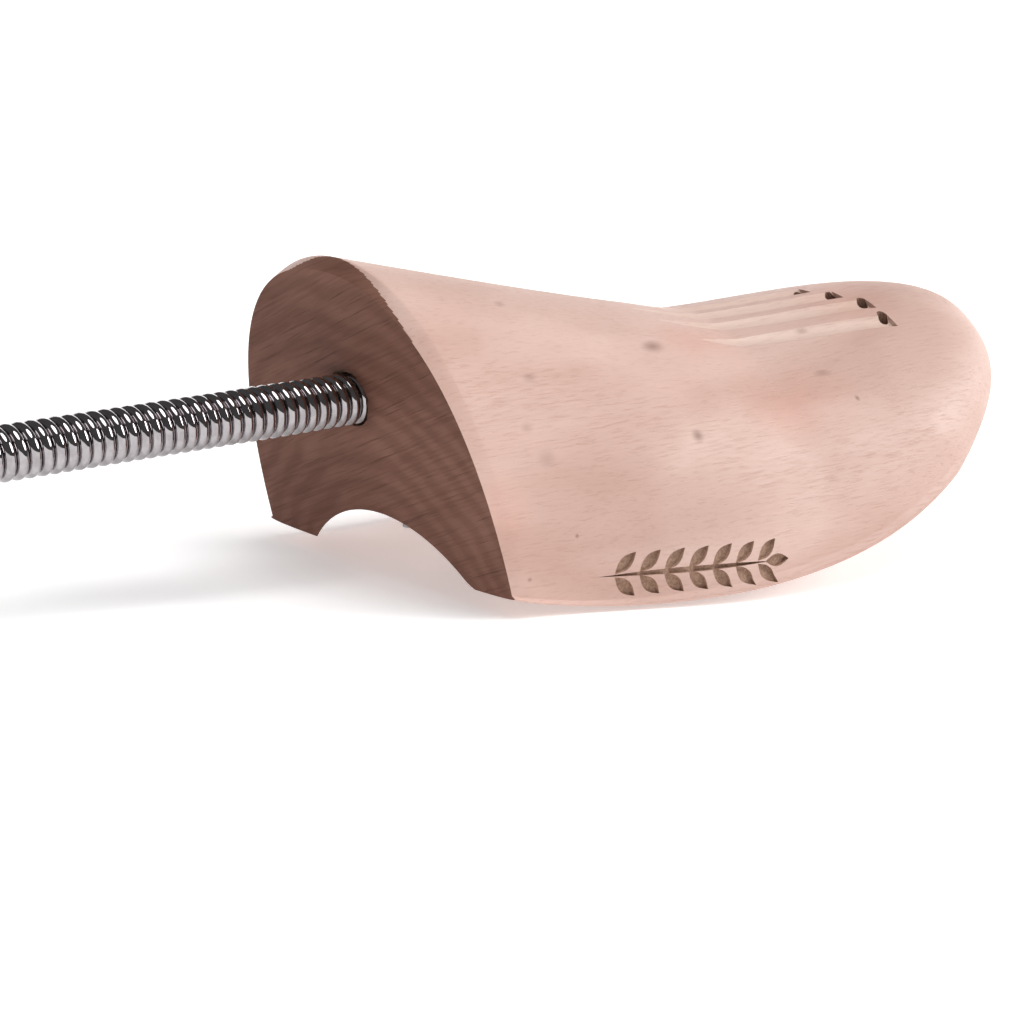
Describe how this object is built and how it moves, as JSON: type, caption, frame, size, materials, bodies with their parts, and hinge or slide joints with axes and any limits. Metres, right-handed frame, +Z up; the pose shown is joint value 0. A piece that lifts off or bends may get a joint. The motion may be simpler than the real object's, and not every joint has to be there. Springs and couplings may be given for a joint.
{
  "type": "shoe tree",
  "caption": "Wooden shoe tree for a left shoe: a carved forepart with an arched, flat-bottomed sole, a close-wound coil spring that bends, and a turned heel knob.",
  "frame": {"origin": "middle of the whole tree's footprint, on the surface that it stands on", "axes": "+X towards the toe, +Y towards the outer side of the foot, +Z up; the tree stands on its sole's flat and on its knob, so the spring falls 4.2 degrees towards the knob"},
  "size_m": [0.3338, 0.0922, 0.0594],
  "materials": {
    "forepart_wood": "sanded bare pinkish beech-like wood, unvarnished",
    "knob_wood": "turned and sanded bare wood",
    "spring_chrome": "bright nickel or chrome plate on round spring wire",
    "pin_steel": "plain steel pin"
  },
  "bodies": {
    "forepart": {"forepart": "forepart_wood", "spring_front_end": "spring_chrome", "lock_pin_front": "pin_steel"},
    "coil_01": {"spring_coil_01": "spring_chrome"},
    "coil_02": {"spring_coil_02": "spring_chrome"},
    "coil_03": {"spring_coil_03": "spring_chrome"},
    "coil_04": {"spring_coil_04": "spring_chrome"},
    "coil_05": {"spring_coil_05": "spring_chrome"},
    "coil_06": {"spring_coil_06": "spring_chrome"},
    "coil_07": {"spring_coil_07": "spring_chrome"},
    "coil_08": {"spring_coil_08": "spring_chrome"},
    "coil_09": {"spring_coil_09": "spring_chrome"},
    "coil_10": {"spring_coil_10": "spring_chrome"},
    "coil_11": {"spring_coil_11": "spring_chrome"},
    "coil_12": {"spring_coil_12": "spring_chrome"},
    "knob": {"heel_knob": "knob_wood", "spring_rear_end": "spring_chrome", "lock_pin_rear": "pin_steel"}
  },
  "joints": [
    {"name": "spring_bend_up_01", "type": "hinge", "parent": "forepart", "child": "coil_01", "pos_m": [0.01022, 0.0017, 0.03339], "axis": [0, 1, 0], "range_deg": [-9, 9], "stiffness_Nm_per_rad": 2.8},
    {"name": "spring_bend_side_01", "type": "hinge", "parent": "coil_01", "child": "coil_02", "pos_m": [-0.0011, 0.0017, 0.03256], "axis": [-0.0733, 0, 0.9973], "range_deg": [-7.5, 7.5], "stiffness_Nm_per_rad": 2.4},
    {"name": "spring_bend_up_02", "type": "hinge", "parent": "coil_02", "child": "coil_03", "pos_m": [-0.01242, 0.0017, 0.03173], "axis": [0, 1, 0], "range_deg": [-9, 9], "stiffness_Nm_per_rad": 2.8},
    {"name": "spring_bend_side_02", "type": "hinge", "parent": "coil_03", "child": "coil_04", "pos_m": [-0.02374, 0.0017, 0.0309], "axis": [-0.0733, 0, 0.9973], "range_deg": [-7.5, 7.5], "stiffness_Nm_per_rad": 2.4},
    {"name": "spring_bend_up_03", "type": "hinge", "parent": "coil_04", "child": "coil_05", "pos_m": [-0.03506, 0.0017, 0.03007], "axis": [0, 1, 0], "range_deg": [-9, 9], "stiffness_Nm_per_rad": 2.8},
    {"name": "spring_bend_side_03", "type": "hinge", "parent": "coil_05", "child": "coil_06", "pos_m": [-0.04637, 0.0017, 0.02924], "axis": [-0.0733, 0, 0.9973], "range_deg": [-7.5, 7.5], "stiffness_Nm_per_rad": 2.4},
    {"name": "spring_bend_up_04", "type": "hinge", "parent": "coil_06", "child": "coil_07", "pos_m": [-0.05769, 0.0017, 0.0284], "axis": [0, 1, 0], "range_deg": [-9, 9], "stiffness_Nm_per_rad": 2.8},
    {"name": "spring_bend_side_04", "type": "hinge", "parent": "coil_07", "child": "coil_08", "pos_m": [-0.06901, 0.0017, 0.02757], "axis": [-0.0733, 0, 0.9973], "range_deg": [-7.5, 7.5], "stiffness_Nm_per_rad": 2.4},
    {"name": "spring_bend_up_05", "type": "hinge", "parent": "coil_08", "child": "coil_09", "pos_m": [-0.08033, 0.0017, 0.02674], "axis": [0, 1, 0], "range_deg": [-9, 9], "stiffness_Nm_per_rad": 2.8},
    {"name": "spring_bend_side_05", "type": "hinge", "parent": "coil_09", "child": "coil_10", "pos_m": [-0.09165, 0.0017, 0.02591], "axis": [-0.0733, 0, 0.9973], "range_deg": [-7.5, 7.5], "stiffness_Nm_per_rad": 2.4},
    {"name": "spring_bend_up_06", "type": "hinge", "parent": "coil_10", "child": "coil_11", "pos_m": [-0.10297, 0.0017, 0.02508], "axis": [0, 1, 0], "range_deg": [-9, 9], "stiffness_Nm_per_rad": 2.8},
    {"name": "spring_bend_side_06", "type": "hinge", "parent": "coil_11", "child": "coil_12", "pos_m": [-0.11429, 0.0017, 0.02425], "axis": [-0.0733, 0, 0.9973], "range_deg": [-7.5, 7.5], "stiffness_Nm_per_rad": 2.4},
    {"name": "spring_bend_up_07", "type": "hinge", "parent": "coil_12", "child": "knob", "pos_m": [-0.12561, 0.0017, 0.02341], "axis": [0, 1, 0], "range_deg": [-9, 9], "stiffness_Nm_per_rad": 2.8}
  ],
  "couplings": [
    {"joint": "spring_bend_up_02", "follows": "spring_bend_up_01", "ratio": 1},
    {"joint": "spring_bend_side_02", "follows": "spring_bend_side_01", "ratio": 1},
    {"joint": "spring_bend_up_03", "follows": "spring_bend_up_01", "ratio": 1},
    {"joint": "spring_bend_side_03", "follows": "spring_bend_side_01", "ratio": 1},
    {"joint": "spring_bend_up_04", "follows": "spring_bend_up_01", "ratio": 1},
    {"joint": "spring_bend_side_04", "follows": "spring_bend_side_01", "ratio": 1},
    {"joint": "spring_bend_up_05", "follows": "spring_bend_up_01", "ratio": 1},
    {"joint": "spring_bend_side_05", "follows": "spring_bend_side_01", "ratio": 1},
    {"joint": "spring_bend_up_06", "follows": "spring_bend_up_01", "ratio": 1},
    {"joint": "spring_bend_side_06", "follows": "spring_bend_side_01", "ratio": 1},
    {"joint": "spring_bend_up_07", "follows": "spring_bend_up_01", "ratio": 1}
  ]
}
